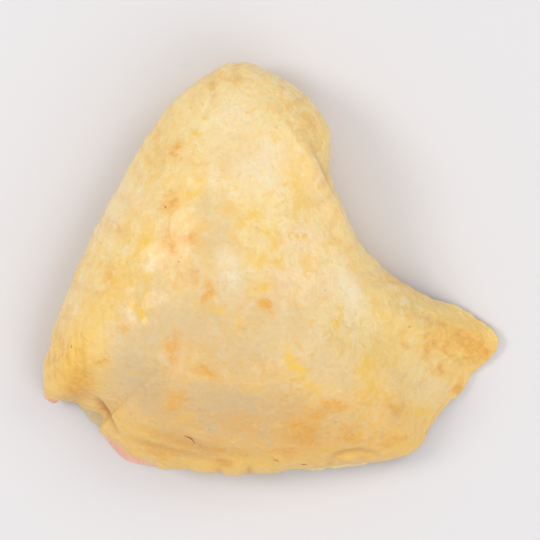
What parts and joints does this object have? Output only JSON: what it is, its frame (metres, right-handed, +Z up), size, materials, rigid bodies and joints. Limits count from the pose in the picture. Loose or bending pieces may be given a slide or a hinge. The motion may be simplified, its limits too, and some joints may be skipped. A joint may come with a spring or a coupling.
{
  "type": "raw chicken thigh",
  "caption": "Raw chicken thigh lying skin side up: loose yellow skin draped over pink flesh, tucked under its sides, with a ragged cut hem and a thin corner flap.",
  "frame": {"origin": "middle of the footprint's bounding rectangle, on the surface that the thigh lies on", "axes": "+Z up, skin side up; +Y towards the narrow knee end; +X towards the thin corner flap of skin"},
  "size_m": [0.114, 0.104, 0.0362],
  "materials": {
    "skin": "raw skin, smooth and slightly moist, cream to yellow with orange flecks",
    "flesh": "raw meat, moist, pink with fine fibres"
  },
  "bodies": {
    "root": {"flesh": "flesh", "skin": "skin"}
  },
  "joints": []
}
